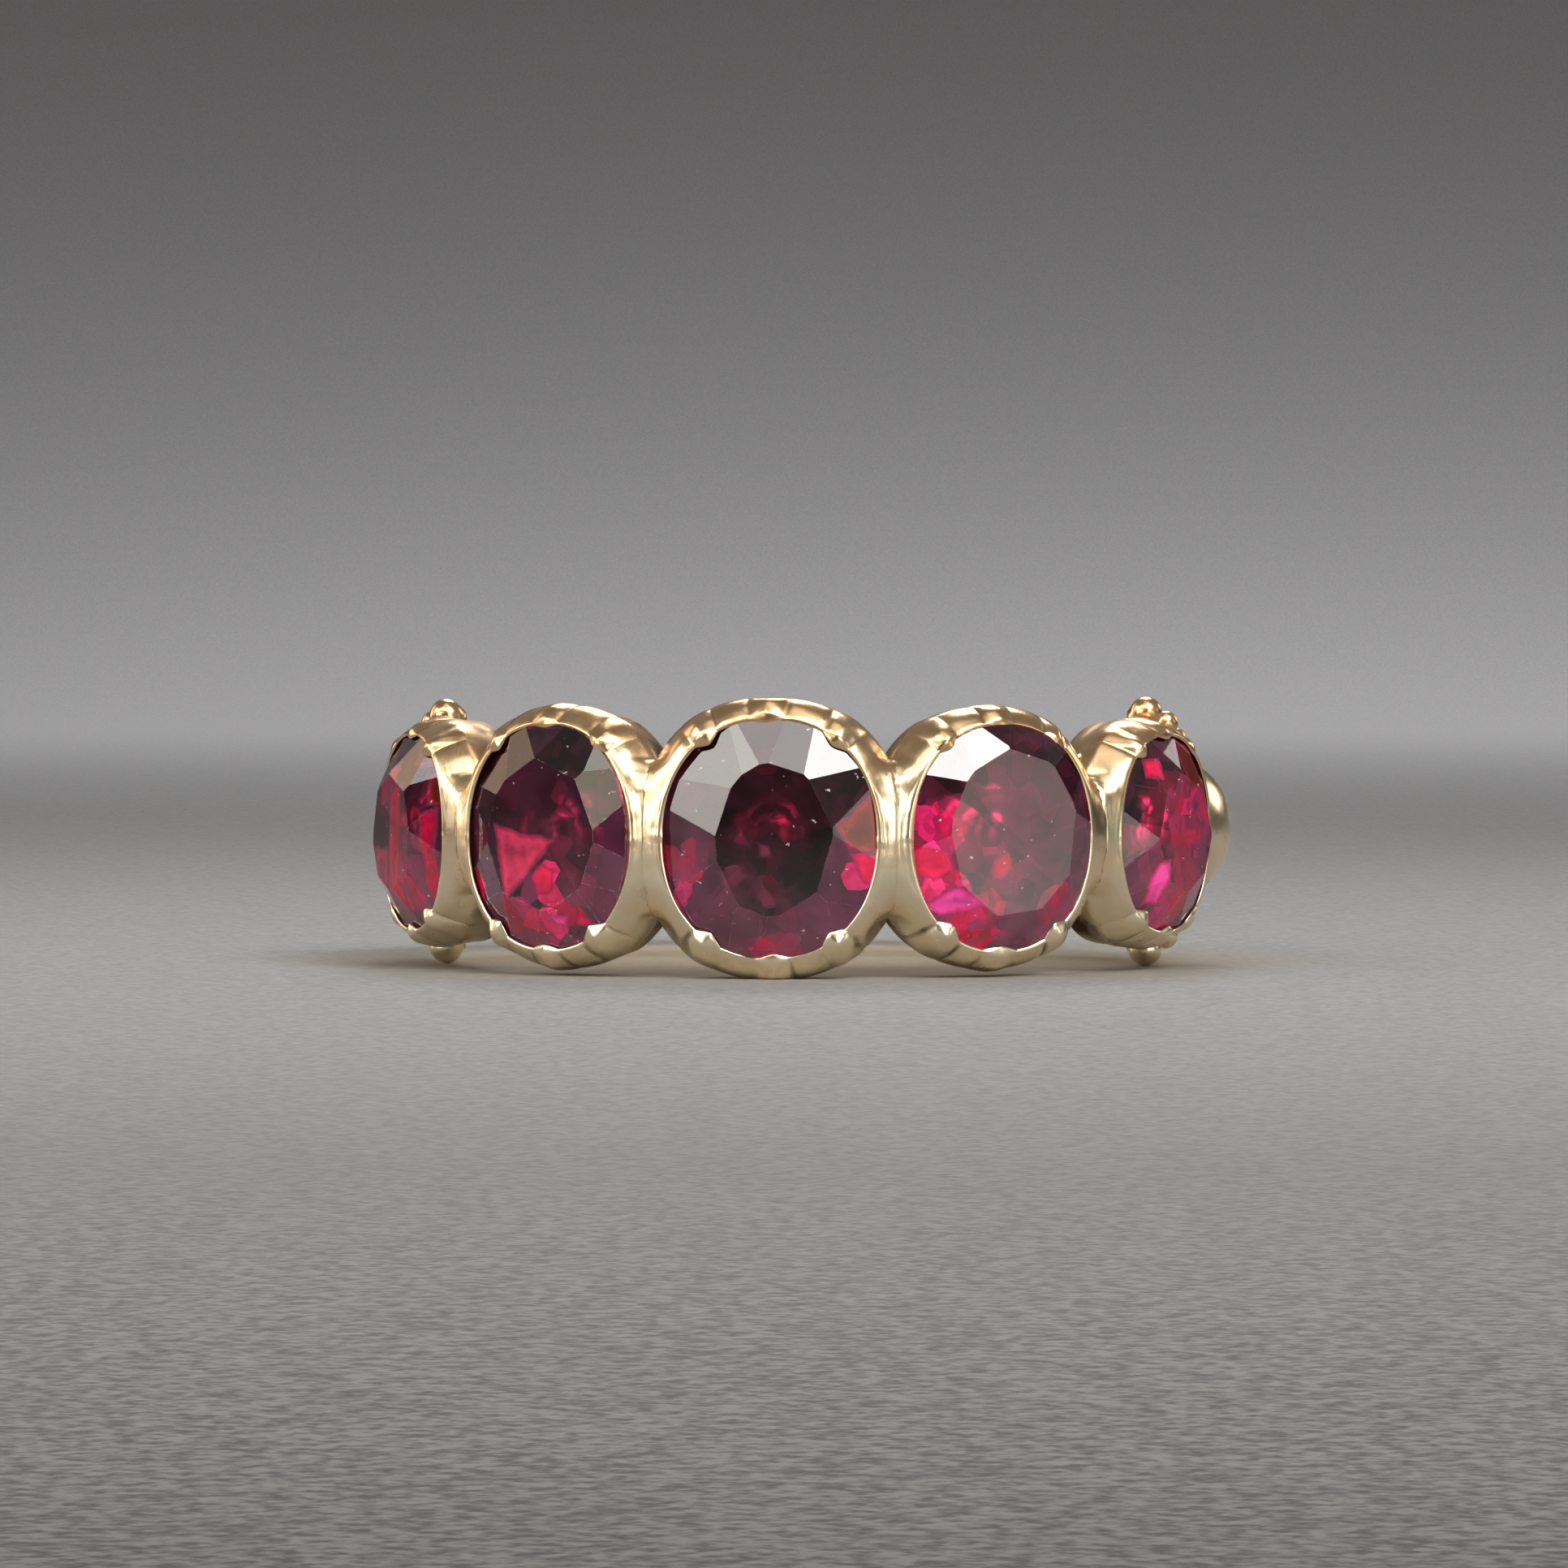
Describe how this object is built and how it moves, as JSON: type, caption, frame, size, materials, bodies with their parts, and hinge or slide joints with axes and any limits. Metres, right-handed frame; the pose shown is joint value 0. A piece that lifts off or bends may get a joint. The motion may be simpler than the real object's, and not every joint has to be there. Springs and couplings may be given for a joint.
{
  "type": "garnet stacking ring",
  "caption": "Half hoop finger ring: oval garnets over foil in closed, cut down gold collets with small claws, beaded shoulders and a plain D section hoop, lying on its side.",
  "frame": {"origin": "centre of the finger hole, half way through its depth", "axes": "+Z along the finger hole's axis, up as the ring lies on its side; the centre stone faces -Y; +X is to the right seen from the stones"},
  "size_m": [0.022, 0.0209, 0.0068],
  "materials": {
    "gold": "polished yellow gold, softly worn, with fine scratches and dark tarnish in the crevices",
    "garnet": "deep purple red cut stone, worn facet edges",
    "foil": "crinkled pink foil with dark stains"
  },
  "bodies": {
    "root": {"gold_mount": "gold", "garnet_center": "garnet", "garnet_inner_left": "garnet", "garnet_inner_right": "garnet", "garnet_outer_left": "garnet", "garnet_outer_right": "garnet", "foil_center": "foil", "foil_inner_left": "foil", "foil_inner_right": "foil", "foil_outer_left": "foil", "foil_outer_right": "foil"}
  },
  "joints": []
}
